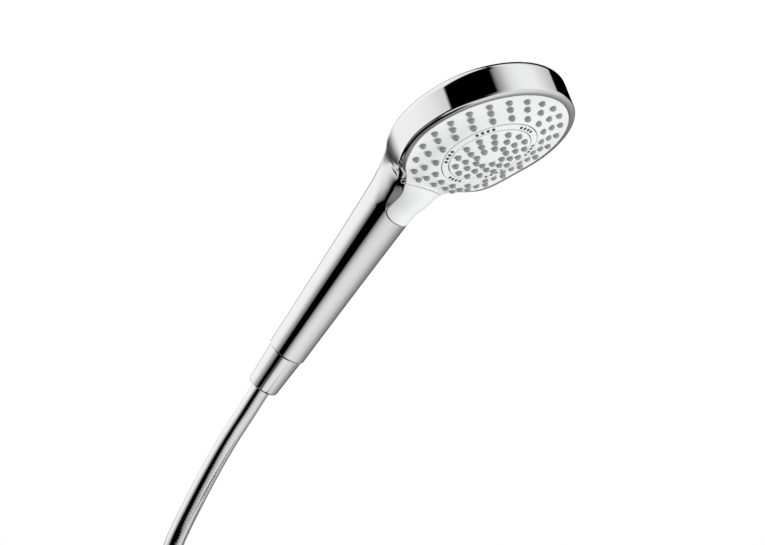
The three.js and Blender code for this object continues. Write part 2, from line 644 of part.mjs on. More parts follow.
// The hose's far end leaves the coil straight on and rises to its nut: [distance, height of the middle].
const TAIL = [[0, 6], [14, 6], [24, 6.8], [34, 8.5], [44, 10.5], [54, 11.9], [60, END_RISE], [68, END_RISE]];
const TAIL_FROM = 42.8;
const TAIL_TO = 62;

const HOSE_SIDES = 10;
const hoseSection = new THREE.Shape();
hoseSection.absarc(0, 0, HOSE_R, 0, 2 * Math.PI, false);
const hoseTube = (curve, steps) => new THREE.ExtrudeGeometry(hoseSection,
  { steps, curveSegments: HOSE_SIDES, bevelEnabled: false, extrudePath: curve });
const spline = (points) => new THREE.CatmullRomCurve3(points, false, 'centripetal');

class Part extends THREE.Curve {
  constructor(curve, from, to) {
    super();
    this.whole = curve;
    this.from = from;
    this.to = to;
  }

  getPoint(t, target = new THREE.Vector3()) {
    return this.whole.getPointAt(this.from + (this.to - this.from) * t, target);
  }
}

const lead = spline(HOSE_ROUTE.map(([x, y, z]) => new THREE.Vector3(x, y, z)));
add(model, 'hose_lead', hoseTube(new Part(lead, 0, LEAD_END), 12), chrome);
const coilRing = tube(TURN_R + HOSE_R, TURN_R - HOSE_R, 0, TURNS * 2 * HOSE_R, 40);
add(model, 'hose_coil', place(coilRing, COIL_X, COIL_Y, FLOOR), chrome);
const tail = spline(TAIL.map(([distance, height]) =>
  new THREE.Vector3(COIL_X - TURN_R, COIL_Y + distance, FLOOR + height)));
const tailLength = TAIL[TAIL.length - 1][0];
add(model, 'hose_tail', hoseTube(new Part(tail, TAIL_FROM / tailLength, TAIL_TO / tailLength), 3), chrome);

// ---------------------------------------------------------------- the hose's far end, along +Y
const wallEnd = new THREE.Group();
wallEnd.position.set(COIL_X - TURN_R, COIL_Y + TAIL_TO + GAP, FLOOR + END_RISE);
wallEnd.rotation.x = -Math.PI / 2;
model.add(wallEnd);
add(wallEnd, 'wall_sleeve', tube(7.3, 4.5, 0, 12, 24), chrome);
add(wallEnd, 'wall_insert', lathe([
  [3.2, 0.5], [4.2, 0.5], [4.2, 12.6], [8.9, 12.6], [8.9, 14.6], [3.2, 14.6],
], 24), brass);
add(wallEnd, 'wall_washer', tube(9, 5.5, 14.9, 16.9, 24), rubber);
const HEX_R = 13.8;
const HEX_LENGTH = 15.2;
const HEX_MIDDLE = 17.4;
const hex = new THREE.CylinderGeometry(HEX_R, HEX_R, HEX_LENGTH, 6).rotateX(Math.PI / 2);
const hexBody = solid(place(hex.rotateZ(Math.PI / 6), 0, 0, HEX_MIDDLE));
const nutBore = lathe([[0, 0], [7.7, 0], [7.7, 12.2], [10.6, 12.2], [10.6, 40], [0, 40]], 28);
add(wallEnd, 'wall_nut', shape(hexBody.subtract(solid(nutBore))), chrome);

export default model;
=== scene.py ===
# The looks of a handheld shower head: chrome shell and handle, white spray face with grey nozzles, rocker
# button, cone nut and a metal-look hose. Lengths are in millimetres and go into the meshes in metres.
import math

import bmesh
import bpy
from mathutils import Matrix, Vector


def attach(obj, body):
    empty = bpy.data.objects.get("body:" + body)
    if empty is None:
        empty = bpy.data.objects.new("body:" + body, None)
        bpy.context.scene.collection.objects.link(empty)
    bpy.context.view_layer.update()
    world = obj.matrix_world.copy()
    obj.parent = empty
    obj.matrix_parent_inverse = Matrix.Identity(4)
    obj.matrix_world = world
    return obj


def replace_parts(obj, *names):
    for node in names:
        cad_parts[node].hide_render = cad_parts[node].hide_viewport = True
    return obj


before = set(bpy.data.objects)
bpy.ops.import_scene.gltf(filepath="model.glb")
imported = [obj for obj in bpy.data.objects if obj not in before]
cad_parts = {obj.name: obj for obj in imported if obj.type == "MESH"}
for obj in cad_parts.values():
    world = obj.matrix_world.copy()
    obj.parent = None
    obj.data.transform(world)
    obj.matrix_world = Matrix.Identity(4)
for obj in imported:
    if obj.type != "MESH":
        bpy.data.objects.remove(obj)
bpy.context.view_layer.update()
MM = 0.001

# ---------------------------------------------------------------- camera
CAMERA_AT = (0.70738, -0.84668, -0.15938)
CAMERA_TURN = 36.40
CAMERA_RISE = 11.33
LENS_MM = 84.7


def add_camera():
    data = bpy.data.cameras.new("camera")
    data.lens = LENS_MM
    data.sensor_width = 36
    camera = bpy.data.objects.new("camera", data)
    camera.location = CAMERA_AT
    camera.rotation_euler = (math.radians(90 + CAMERA_RISE), 0, math.radians(CAMERA_TURN))
    bpy.context.scene.collection.objects.link(camera)
    bpy.context.scene.camera = camera


# ---------------------------------------------------------------- the form of head, neck and handle
# s runs along the face from the head's middle down to the neck, w across it and h up from it.
TILT = math.radians(43.6)
FACE_ANGLE = math.radians(24.8)
APEX_X, APEX_Z = 40.6, 190.75
COS_F, SIN_F = math.cos(FACE_ANGLE), math.sin(FACE_ANGLE)
HEAD_R, FACE_R = 55, 51
DOME_R = 150
FILLET_R = 38
NECK_HALF = 16.2
LIP_DROP, RIM_DROP = 10.5, 8.3
WALL_DROP, BACK_DROP, BACK_BULGE = 23.4, 28.1, 6
TIP_DEEPER, TIP_FROM, TIP_OVER = 1.9, 40, 90
EDGE = HEAD_R - FACE_R
RIM_ANGLE, LIP_ANGLE, HEEL_ANGLE, BACK_ANGLE = 50, 65, 115, 130
FLARE, FLARE_FROM, FLARE_OVER = 5.2, 126, 22
NECK_LIFT, LIFT_FROM, LIFT_OVER = 3.2, 5, 40
BLEND_FROM, BLEND_OVER = 28, 44
HANDLE_END = 14.9
HANDLE_R, HANDLE_R_AT, HANDLE_TAPER, HANDLE_CURVE = 12.2, 18, 0.0297, 0.0000625
OPENING_END = 79
END_ROUND = 6
END_WIDER, WIDER_FROM, WIDER_OVER = 2.0, 58, 16
FILLET_W = NECK_HALF + FILLET_R
FILLET_S = math.sqrt((HEAD_R + FILLET_R) ** 2 - FILLET_W**2)
BUTTON_TOP_S, ARCH_R, ARCH_HALF = 45, 43, 22
SEAM = 0.3
RING_SEAM = 0.55
ROLL = 0.25
SKIRT = 2.4

TO_ROW = Matrix.Rotation(TILT, 4, "Y")


def smooth(t):
    k = min(1.0, max(0.0, t))
    return k * k * k * (k * (k * 6 - 15) + 10)


def row(point):
    """From the handset's own axes, in millimetres, to the row frame in metres."""
    return (TO_ROW @ Vector(point)) * MM


def from_handset(x, y, z):
    return row((x, y, z))


def on_face(s, w, h):
    return Vector((APEX_X - s * SIN_F + h * COS_F, w, APEX_Z - s * COS_F - h * SIN_F))


def along_face(p):
    return -(p.x - APEX_X) * SIN_F - (p.z - APEX_Z) * COS_F


def handle_radius(z):
    up = z - HANDLE_R_AT
    return HANDLE_R + HANDLE_TAPER * up + HANDLE_CURVE * up**2


def half_width(s, e):
    meet = FILLET_S * (HEAD_R - e) / (HEAD_R + FILLET_R)
    if s <= meet:
        return math.sqrt(max(0.0, (HEAD_R - e) ** 2 - s * s))
    if s <= FILLET_S:
        return FILLET_W - math.sqrt((FILLET_R + e) ** 2 - (s - FILLET_S) ** 2)
    return NECK_HALF - e


def on_axis(s):
    return APEX_Z + APEX_X * math.tan(FACE_ANGLE) - s / COS_F


def station_at(z):
    return (APEX_Z + APEX_X * math.tan(FACE_ANGLE) - z) * COS_F


def inset_at(angle):
    """How far a column of the form lies in from the head's wall."""
    if angle < RIM_ANGLE:
        return EDGE
    if angle < LIP_ANGLE:
        return EDGE * (1 - math.sin(math.pi / 2 * (angle - RIM_ANGLE) / (LIP_ANGLE - RIM_ANGLE)))
    if angle < HEEL_ANGLE:
        return 0.0
    if angle < BACK_ANGLE:
        return EDGE * (1 - math.cos(math.pi / 2 * (angle - HEEL_ANGLE) / (BACK_ANGLE - HEEL_ANGLE)))
    return EDGE


def share_at(angle):
    """The part of the half width that a column of the front or the back has."""
    if angle < RIM_ANGLE:
        return angle / RIM_ANGLE
    if angle > BACK_ANGLE:
        return (180 - angle) / (180 - BACK_ANGLE)
    return 1.0


def height_at(angle, s, w):
    lift = NECK_LIFT * smooth((s - LIFT_FROM) / LIFT_OVER)
    deeper = TIP_DEEPER * smooth((TIP_FROM - s) / TIP_OVER)
    if angle < RIM_ANGLE:
        k = min(1.0, max(0.0, 2 * angle / RIM_ANGLE - 1))
        at_rim = k * k * (3 - 2 * k)
        return lift - (s * s + w * w) / (2 * DOME_R) * (1 - at_rim) - RIM_DROP * at_rim
    if angle < LIP_ANGLE:
        turn = math.pi / 2 * (angle - RIM_ANGLE) / (LIP_ANGLE - RIM_ANGLE)
        return lift - RIM_DROP - (LIP_DROP - RIM_DROP) * (1 - math.cos(turn))
    if angle < HEEL_ANGLE:
        k = (angle - LIP_ANGLE) / (HEEL_ANGLE - LIP_ANGLE)
        return (lift - LIP_DROP) * (1 - k) - (WALL_DROP + deeper) * k
    if angle < BACK_ANGLE:
        turn = math.pi / 2 * (angle - HEEL_ANGLE) / (BACK_ANGLE - HEEL_ANGLE)
        return -WALL_DROP - deeper - (BACK_DROP - WALL_DROP) * math.sin(turn)
    out = 1 - (s * s + w * w) / FACE_R**2
    return -BACK_DROP - deeper - BACK_BULGE * max(0.0, out)


def form(s, angle):
    """A point of the form on the +Y half, in the handset's axes; angle is 0 in front and 180 at the back."""
    w = half_width(s, inset_at(angle)) * share_at(angle)
    head = on_face(s, w, height_at(angle, s, w))
    axis_z = on_axis(s)
    t = math.radians(angle)
    radius = handle_radius(axis_z)
    across = radius if s > FILLET_S else half_width(s, 0)
    front = radius
    if angle < 90:
        front += FLARE * smooth((axis_z - FLARE_FROM) / FLARE_OVER)
    handle = Vector((front * math.cos(t), across * math.sin(t), axis_z))
    return head.lerp(handle, smooth((s - BLEND_FROM) / BLEND_OVER))


def tip(turn, angle):
    """The same beyond the head's middle, on circles: turn is 90 degrees at s = 0 and 180 at the far end."""
    r = (HEAD_R - inset_at(angle)) * share_at(angle)
    s, w = r * math.cos(math.radians(turn)), r * math.sin(math.radians(turn))
    return on_face(s, w, height_at(angle, s, w))


def opening_angle(s, end):
    """Where the opening for face and button ends about the form, at s."""
    widest = RIM_ANGLE + END_WIDER * smooth((s - WIDER_FROM) / WIDER_OVER)
    t = max(0.0, 1 - (end - s) / END_ROUND)
    if t >= 1:
        return 0.0
    closing = (1 - t**3) ** (1 / 3)
    return math.degrees(math.asin(math.sin(math.radians(widest)) * closing))


# ---------------------------------------------------------------- mesh helpers
TRUE_NORMAL = "true_normal"


def finish_mesh(name, bm, body, material, sharp=40):
    bmesh.ops.remove_doubles(bm, verts=bm.verts, dist=1e-6)
    bmesh.ops.dissolve_degenerate(bm, edges=bm.edges, dist=1e-7)
    layer = bm.verts.layers.float_vector.get(TRUE_NORMAL)
    normals = None
    if layer:
        bm.normal_update()
        normals = [v[layer].normalized() if v[layer].length > 0.5 else v.normal.copy() for v in bm.verts]
        bm.verts.layers.float_vector.remove(layer)
    mesh = bpy.data.meshes.new(name)
    bm.to_mesh(mesh)
    bm.free()
    mesh.polygons.foreach_set("use_smooth", [True] * len(mesh.polygons))
    if normals:
        mesh.normals_split_custom_set_from_vertices(normals)
    else:
        mesh.set_sharp_from_angle(angle=math.radians(sharp))
    piece = bpy.data.objects.new(name, mesh)
    bpy.context.scene.collection.objects.link(piece)
    mesh.materials.append(material)
    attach(piece, body)
    return piece


def add_grid(bm, rows, normals=None):
    """Quads between rows of points, given in the handset's axes, with the surface's own normals if given."""
    if normals:
        layer = bm.verts.layers.float_vector.new(TRUE_NORMAL)
    verts = [[bm.verts.new(row(p)) for p in points] for points in rows]
    if normals:
        for made, given in zip(verts, normals):
            for v, n in zip(made, given):
                v[layer] = (TO_ROW @ n).normalized()
    for upper, lower in zip(verts, verts[1:]):
        for j in range(len(upper) - 1):
            bm.faces.new((upper[j], lower[j], lower[j + 1], upper[j + 1]))


def both_sides(bm, inside):
    """Mirrors the +Y half, joins it at the middle plane, and turns the faces away from the inside point."""
    copy = bmesh.ops.duplicate(bm, geom=bm.verts[:] + bm.edges[:] + bm.faces[:])
    layer = bm.verts.layers.float_vector.get(TRUE_NORMAL)
    for v in copy["geom"]:
        if isinstance(v, bmesh.types.BMVert):
            v.co.y = -v.co.y
            if layer:
                v[layer] = (v[layer].x, -v[layer].y, v[layer].z)
    bmesh.ops.reverse_faces(bm, faces=[f for f in copy["geom"] if isinstance(f, bmesh.types.BMFace)])
    bmesh.ops.remove_doubles(bm, verts=bm.verts, dist=2e-6)
    face_out(bm, inside)


def face_out(bm, inside):
    bm.normal_update()
    middle = row(inside)
    if sum(f.calc_area() * f.normal.dot(f.calc_center_median() - middle) for f in bm.faces) < 0:
        bmesh.ops.reverse_faces(bm, faces=bm.faces[:])
        bm.normal_update()


def roll_edges(bm, radius=ROLL, depth=SKIRT, steps=4):
    """Rounds every open edge over and runs it on into the body."""
    sides, edges = {}, []
    for e in bm.edges:
        if not e.is_boundary:
            continue
        loop = e.link_loops[0]
        a, b = loop.vert, loop.link_loop_next.vert
        side = (b.co - a.co).cross(loop.face.normal).normalized()
        edges.append((a, b))
        for v in (a, b):
            sides[v] = sides.get(v, Vector()) + side
    layer = bm.verts.layers.float_vector.get(TRUE_NORMAL)
    normals = {v: Vector(v[layer]) if layer else v.normal.copy() for v in sides}
    for v in sides:
        sides[v] = (sides[v] - normals[v] * sides[v].dot(normals[v])).normalized()
    turns = [math.pi / 2 * k / steps for k in range(1, steps + 1)]
    rings = [(radius * math.sin(t), radius * (1 - math.cos(t)), t) for t in turns]
    rings.append((radius, radius + depth, math.pi / 2))
    last = {v: v for v in sides}
    for across, down, t in rings:
        fresh = {v: bm.verts.new(v.co + sides[v] * across * MM - normals[v] * down * MM) for v in sides}
        if layer:
            for v, made in fresh.items():
                made[layer] = normals[v] * math.cos(t) + sides[v] * math.sin(t)
        for a, b in edges:
            bm.faces.new((last[b], last[a], fresh[a], fresh[b]))
        last = fresh


def lathe(bm, profile, place, segments=96):
    """Turns a profile of [r, z] about Z; place takes the point to the row frame."""
    rings = []
    for i in range(segments):
        t = 2 * math.pi * i / segments
        rings.append([bm.verts.new(place(r * math.cos(t), r * math.sin(t), z)) for r, z in profile])
    for i in range(segments):
        near, far = rings[i], rings[(i + 1) % segments]
        for j in range(len(profile) - 1):
            corners = [near[j], far[j], far[j + 1], near[j + 1]]
            if profile[j][0] == 0:
                corners = [near[j], far[j + 1], near[j + 1]]
            elif profile[j + 1][0] == 0:
                corners = [near[j], far[j], near[j + 1]]
            bm.faces.new(corners)


def arc(r, z, radius, start, end, steps=5):
    """Points of an arc in a profile, about [r, z], from start to end in degrees."""
    points = []
    for k in range(steps + 1):
        t = math.radians(start + (end - start) * k / steps)
        points.append((r + radius * math.cos(t), z + radius * math.sin(t)))
    return points


# ---------------------------------------------------------------- materials
def new_material(name, color, roughness, metallic=0.0, **sockets):
    material = bpy.data.materials.new(name)
    material.use_nodes = True
    tree = material.node_tree
    shader = tree.nodes["Principled BSDF"]
    shader.inputs["Base Color"].default_value = (*color, 1)
    shader.inputs["Roughness"].default_value = roughness
    shader.inputs["Metallic"].default_value = metallic
    for key, value in sockets.items():
        shader.inputs[key.replace("_", " ")].default_value = value
    return material, tree, shader


def link_noise(tree, scale, detail=3.0):
    coords = tree.nodes.new("ShaderNodeTexCoord")
    noise = tree.nodes.new("ShaderNodeTexNoise")
    noise.inputs["Scale"].default_value = scale
    noise.inputs["Detail"].default_value = detail
    tree.links.new(coords.outputs["Object"], noise.inputs["Vector"])
    return noise


def vary(tree, source, low, high, target, start=0.35, end=0.65):
    ramp = tree.nodes.new("ShaderNodeMapRange")
    ramp.inputs["From Min"].default_value = start
    ramp.inputs["From Max"].default_value = end
    ramp.inputs["To Min"].default_value = low
    ramp.inputs["To Max"].default_value = high
    tree.links.new(source, ramp.inputs["Value"])
    tree.links.new(ramp.outputs["Result"], target)


def tint(tree, source, low, high, target, start=0.35, end=0.65):
    ramp = tree.nodes.new("ShaderNodeValToRGB")
    ramp.color_ramp.elements[0].position = start
    ramp.color_ramp.elements[0].color = (*low, 1)
    ramp.color_ramp.elements[1].position = end
    ramp.color_ramp.elements[1].color = (*high, 1)
    tree.links.new(source, ramp.inputs["Fac"])
    tree.links.new(ramp.outputs["Color"], target)


def bump(tree, source, strength, distance, shader):
    node = tree.nodes.new("ShaderNodeBump")
    node.inputs["Strength"].default_value = strength
    node.inputs["Distance"].default_value = distance
    tree.links.new(source, node.inputs["Height"])
    tree.links.new(node.outputs["Normal"], shader.inputs["Normal"])


def chrome_material(name, low=0.015, high=0.035):
    material, tree, shader = new_material(name, (0.93, 0.932, 0.935), low, 1.0)
    smear = link_noise(tree, 14, 4)
    vary(tree, smear.outputs["Fac"], low, high, shader.inputs["Roughness"])
    tint(tree, smear.outputs["Fac"], (0.925, 0.928, 0.933), (0.95, 0.951, 0.953), shader.inputs["Base Color"])
    return material


def plastic_material(name, low, high, roughness, grain=0.02, scale=900):
    material, tree, shader = new_material(name, high, roughness)
    patch = link_noise(tree, 22, 3)
    tint(tree, patch.outputs["Fac"], low, high, shader.inputs["Base Color"])
    vary(tree, patch.outputs["Fac"], roughness * 0.85, roughness * 1.15, shader.inputs["Roughness"])
    skin = link_noise(tree, scale, 2)
    bump(tree, skin.outputs["Fac"], grain, 0.0002, shader)
    return material


def turned_material(name, low, high, roughness):
    """Bright machined metal with fine tool marks."""
    material, tree, shader = new_material(name, high, roughness, 1.0)
    marks = link_noise(tree, 60, 6)
    tint(tree, marks.outputs["Fac"], low, high, shader.inputs["Base Color"])
    vary(tree, marks.outputs["Fac"], roughness * 0.7, roughness * 1.3, shader.inputs["Roughness"])
    bump(tree, marks.outputs["Fac"], 0.08, 0.0002, shader)
    return material


CHROME = chrome_material("chrome")
HOSE_CHROME = chrome_material("hose_chrome", 0.05, 0.08)
WHITE = plastic_material("white_plastic", (0.86, 0.865, 0.87), (0.9, 0.903, 0.905), 0.28)
GREY_RUBBER = plastic_material("grey_rubber", (0.33, 0.335, 0.34), (0.39, 0.395, 0.4), 0.42, 0.05, 1400)
# Near-black: painted shade for the jet slots and for the gaps of the ring plate's seams, not the parts' own
# colour.
SLOT_AND_SEAM_SHADE = plastic_material("dark_jets", (0.045, 0.047, 0.05), (0.07, 0.072, 0.078), 0.4)
PLASTIC = plastic_material("natural_plastic", (0.66, 0.64, 0.58), (0.74, 0.72, 0.67), 0.45, 0.04)
BRASS = turned_material("turned_brass", (0.55, 0.40, 0.17), (0.70, 0.53, 0.25), 0.3)
STEEL = turned_material("steel", (0.52, 0.53, 0.54), (0.66, 0.67, 0.68), 0.28)
SEAL = plastic_material("black_rubber", (0.012, 0.012, 0.013), (0.022, 0.022, 0.024), 0.6, 0.08, 1200)

NODE_LOOKS = {
    "spray_face": WHITE, "ring_plate": WHITE, "centre_disc": WHITE, "select_button": WHITE,
    # jet_ring takes the near-black painted shade of the jet slots and seams.
    "outer_nozzle_mat": GREY_RUBBER, "inner_nozzle_mat": GREY_RUBBER, "jet_ring": SLOT_AND_SEAM_SHADE,
    "distributor": PLASTIC, "water_guide": PLASTIC, "button_carrier": PLASTIC, "cartridge_housing": PLASTIC,
    "valve_disc": PLASTIC, "ratchet_rotor": PLASTIC, "plunger": PLASTIC, "cartridge_cap": PLASTIC,
    "water_tube": PLASTIC, "flow_limiter": PLASTIC, "slip_ring": PLASTIC,
    "face_gasket": SEAL, "guide_gasket": SEAL, "valve_seat": SEAL, "cap_seal": SEAL, "tube_seal_1": SEAL,
    "tube_seal_2": SEAL, "filter_washer": SEAL, "wall_washer": SEAL,
    "centre_screw": STEEL, "button_pin": STEEL, "return_spring": STEEL, "crimp_sleeve": STEEL,
    "inlet_nipple": BRASS, "hose_insert": BRASS, "wall_insert": BRASS,
    "body_shell": CHROME, "cone_nut": CHROME, "wall_sleeve": CHROME, "wall_nut": CHROME,
    "hose_lead": HOSE_CHROME, "hose_coil": HOSE_CHROME, "hose_tail": HOSE_CHROME,
}


def paint_nodes():
    for name, material in NODE_LOOKS.items():
        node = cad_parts[name]
        if not node.material_slots:
            node.data.materials.append(material)
        for place in node.material_slots:
            place.material = material


# ---------------------------------------------------------------- hose
# The route's points are in the row frame; the coil's turns lie on each other on the floor.
HOSE_R = 6
TURN_R = 68.9
TURNS = 3
COIL_X, COIL_Y, FLOOR = -110.3 + TURN_R, 62, -190
TURN_DROP = 2 * HOSE_R
FLAT_DEGREES = 300
TURN_STEP = 15
HOSE_ROUTE = [
    (-9.0, 0, -9.45), (-14.6, 0, -15.7), (-23.5, 0, -26), (-32.7, 0, -36.4), (-41.5, 0, -47), (-49.9, 0, -58),
    (-58.0, 0, -69.2), (-66.0, 0, -80.8), (-73.8, 0, -92.6), (-80.9, 0, -104.7), (-87.7, 1.6, -117.1),
    (-94.1, 6.2, -128.8), (-99.7, 13.7, -139.3), (-104.2, 23.6, -148), (-107.6, 35.5, -154.7),
    (-109.6, 48.7, -158.7),
]
TAIL = [(14, 6), (24, 6.8), (34, 8.5), (44, 10.5), (54, 11.9), (62.3, 12.3)]
BAND_PITCH = 2.2
BAND_GROOVE = 0.012
HOSE_SIDES = 24
CURVE_STEPS = 24
RINGS_PER_PITCH = 4


def hose_points():
    """The hose's middle line: down from the nut, round the coil from its top turn, out to the wall nut."""
    points = [Vector(p) for p in HOSE_ROUTE]
    for k in range(TURNS * 360 // TURN_STEP + 1):
        degrees = k * TURN_STEP
        turn, rest = divmod(degrees, 360)
        fall = smooth((rest - FLAT_DEGREES) / (360 - FLAT_DEGREES)) if turn < TURNS - 1 else 0
        z = FLOOR + HOSE_R + TURN_DROP * (TURNS - 1 - min(turn, TURNS - 1) - fall)
        if turn == TURNS:
            z = FLOOR + HOSE_R
        t = math.radians(180 - degrees)
        points.append(Vector((COIL_X + TURN_R * math.cos(t), COIL_Y + TURN_R * math.sin(t), z)))
    for along, height in TAIL:
        points.append(Vector((COIL_X - TURN_R, COIL_Y + along, FLOOR + height)))
    return points


def through(points, spacing):
    """Even points on the smooth curve through the given ones."""
    fine = []
    padded = [points[0] * 2 - points[1]] + points + [points[-1] * 2 - points[-2]]
    for a, b, c, d in zip(padded, padded[1:], padded[2:], padded[3:]):
        for k in range(CURVE_STEPS):
            t = k / CURVE_STEPS
            fine.append(0.5 * (2 * b + (c - a) * t + (2 * a - 5 * b + 4 * c - d) * t**2
                               + (3 * b - a - 3 * c + d) * t**3))
    fine.append(points[-1])
    lengths = [0.0]
    for a, b in zip(fine, fine[1:]):
        lengths.append(lengths[-1] + (b - a).length)
    count = round(lengths[-1] / spacing)
    even, at = [], 0
    for k in range(count + 1):
        target = lengths[-1] * k / count
        while at < len(fine) - 2 and lengths[at + 1] < target:
            at += 1
        span = lengths[at + 1] - lengths[at]
        even.append(fine[at].lerp(fine[at + 1], (target - lengths[at]) / span if span else 0))
    return even, lengths[-1]


def make_hose():
    """A metal band wound round the hose: a shallow groove at every pitch."""
    points, length = through(hose_points(), BAND_PITCH / RINGS_PER_PITCH)
    bm = bmesh.new()
    profile = (HOSE_R - BAND_GROOVE,) + (HOSE_R,) * (RINGS_PER_PITCH - 1)
    up = Vector((0, 1, 0))
    rings = []
    for k, p in enumerate(points):
        along = (points[min(k + 1, len(points) - 1)] - points[max(k - 1, 0)]).normalized()
        side = along.cross(up).normalized()
        up = side.cross(along).normalized()
        r = profile[k % len(profile)]
        ring = []
        for j in range(HOSE_SIDES):
            t = 2 * math.pi * j / HOSE_SIDES
            ring.append(bm.verts.new((p + side * r * math.cos(t) + up * r * math.sin(t)) * MM))
        rings.append(ring)
    for near, far in zip(rings, rings[1:]):
        for j in range(HOSE_SIDES):
            k = (j + 1) % HOSE_SIDES
            bm.faces.new((near[k], near[j], far[j], far[k]))
    bm.faces.new(rings[0])
    bm.faces.new(rings[-1][::-1])
    bm.normal_update()
    hose = finish_mesh("hose", bm, "root", HOSE_CHROME, 60)
    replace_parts(hose, "hose_lead", "hose_coil", "hose_tail")


# ---------------------------------------------------------------- the hose's nuts
NUT_LOW, NUT_RISE = -10.5, 23.8
NUT_R, NUT_GROWS = 9.97, 1.25
NUT_STEPS = 12


def make_cone_nut():
    bm = bmesh.new()
    profile = [(6.5, -10), (6.5, -12.2)]
    profile += arc(7.1, -12.45, 0.6, 180, 270, 4)
    profile += arc(8.5, -11.65, 1.4, 270, 357, 10)
    profile += [(9.92, -11.3), (NUT_R, NUT_LOW)]
    for k in range(1, NUT_STEPS + 1):
        profile.append((NUT_R + NUT_GROWS * k / NUT_STEPS, NUT_LOW + NUT_RISE * k / NUT_STEPS))
    profile += arc(10.82, 13.6, 0.42, 2, 90, 6)
    profile += [(10.6, 14.0), (10.6, 7), (9.5, 7)]
    lathe(bm, profile, from_handset, 128)
    face_out(bm, (0, 0, 1))
    piece = finish_mesh("cone_nut_looks", bm, "nut", CHROME, 50)
    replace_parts(piece, "cone_nut")


def hex_point(t, flat):
    """Distance from the middle to a hexagon's side in direction t."""
    sector = math.pi / 3
    return flat / math.cos(t % sector - sector / 2)


def make_wall_nut():
    """A hexagon nut with its corners turned down at both ends, a collar and a threaded bore."""
    bm = bmesh.new()
    flat, corner = 11.9, 13.45
    low, high = 10.0, 24.8
    segments = 144
    rows = []
    turned_down = [(0, 11.5), (0.35, 12.3), (0.9, 12.9), (1.7, corner)]
    caps = [(low + in_by, cap) for in_by, cap in turned_down]
    caps += [(high - in_by, cap) for in_by, cap in turned_down[::-1]]
    for z, cap in caps:
        rows.append([(min(cap, hex_point(2 * math.pi * i / segments, flat)), z) for i in range(segments)])
    bore = [(10.9, high), (10.6, high - 0.3)]
    for k in range(6):
        z = high - 1.0 - 1.25 * k
        bore += [(10.6, z), (10.15, z - 0.6)]
    bore += [(10.6, 17.6), (7.7, 17.6), (7.7, low + 0.3), (8.0, low)]
    rows += [[(r, z)] * segments for r, z in bore]
    rows.append(rows[0])
    at = Vector((COIL_X - TURN_R, COIL_Y + 62.3, FLOOR + 12.3))
    verts = []
    for points in rows[:-1]:
        ring = []
        for i, (r, z) in enumerate(points):
            t = 2 * math.pi * i / segments
            ring.append(bm.verts.new((at + Vector((r * math.cos(t), z, r * math.sin(t)))) * MM))
        verts.append(ring)
    verts.append(verts[0])
    for near, far in zip(verts, verts[1:]):
        for i in range(segments):
            k = (i + 1) % segments
            bm.faces.new((near[i], near[k], far[k], far[i]))
    bmesh.ops.recalc_face_normals(bm, faces=bm.faces[:])
    piece = finish_mesh("wall_nut_looks", bm, "wall_nut", CHROME, 25)
    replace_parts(piece, "wall_nut")
    return piece


# ---------------------------------------------------------------- chrome shell
def spread(*parts):
    values = []
    for start, end, steps in parts:
        values += [start + (end - start) * k / steps for k in range(steps)]
    return values + [parts[-1][1]]


def normal_of(surface, a, b, inside, step=0.05):
    """The outward normal of surface(a, b), by small steps."""
    across = (surface(a + step, b) - surface(a - step, b)).cross(surface(a, b + step) - surface(a, b - step))
    across.normalize()
    return across if across.dot(surface(a, b) - inside) > 0 else -across


def middle_at(s):
    """A point inside the form at s, from which its surface faces away."""
    head = on_face(s, 0, -(WALL_DROP + LIP_DROP) / 2)
    return head.lerp(Vector((0, 0, on_axis(s))), smooth((s - BLEND_FROM) / BLEND_OVER))


def make_shell():
    bm = bmesh.new()
    normals = []
    columns = spread((RIM_ANGLE, LIP_ANGLE, 14), (LIP_ANGLE, HEEL_ANGLE, 16), (HEEL_ANGLE, BACK_ANGLE, 12),
                     (BACK_ANGLE, 180, 18))
    rows = []
    for turn in spread((180, 90, 60)):
        rows.append([tip(turn, angle) for angle in columns])
        s = HEAD_R * math.cos(math.radians(turn))
        normals.append([normal_of(tip, turn, max(angle, RIM_ANGLE + 0.1), middle_at(min(0.0, s * 0.9)))
                        for angle in columns])
    rounding = OPENING_END - END_ROUND
    stations = spread((1.5, rounding - 1, 47), (rounding - 1, rounding, 1))
    stations += [OPENING_END - END_ROUND * (1 - math.sin(math.pi / 2 * k / 12)) for k in range(1, 13)]
    stations += spread((80, 92, 8), (94, station_at(HANDLE_END), 40))
    for s in stations:
        edge = opening_angle(s, OPENING_END)
        scale = (180 - edge) / (180 - RIM_ANGLE)
        angles = [180 - (180 - angle) * scale for angle in columns]
        rows.append([form(s, angle) for angle in angles])
        lowest = RIM_ANGLE + 0.1 if s < rounding - 1 else 0
        normals.append([normal_of(form, s, max(angle, lowest), middle_at(s)) for angle in angles])
    add_grid(bm, rows, normals)
    both_sides(bm, (10, 0, 120))
    roll_edges(bm)
    inner, outer = 9.85, 11.9
    low, high = HANDLE_END + 0.3, HANDLE_END + 1.0
    end_ring = [(outer, low), (outer, high), (inner, high), (inner, low), (outer, low)]
    lathe(bm, end_ring, from_handset, 96)
    shell = finish_mesh("shell", bm, "root", CHROME, 50)
    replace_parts(shell, "body_shell")


# ---------------------------------------------------------------- spray face and button
RING_OUT, RING_IN = 29.4, 25.2
PANEL_IN = SEAM + 2 * ROLL
BUTTON_SEAM = 0.15
BUTTON_IN = BUTTON_SEAM + 2 * ROLL
OUTER_RINGS = ((24, 45), (21, 39.15), (18, 33.3))
INNER_RINGS = ((15, 21.2), (12, 15.3), (9, 9.2))
JET_R, JET_STEP = 27.3, 0.122
NEAR_RIM = 0.9999
PANEL_STEPS = 14


def face_point(s, w):
    if s <= 0:
        share = min(NEAR_RIM, math.hypot(s, w) / FACE_R)
        return on_face(s, w, height_at(RIM_ANGLE * share, s, w))
    return form(s, RIM_ANGLE * min(NEAR_RIM, w / half_width(s, EDGE)))


def face_surface(s, w):
    p = face_point(s, abs(w))
    return Vector((p.x, math.copysign(p.y, w), p.z))


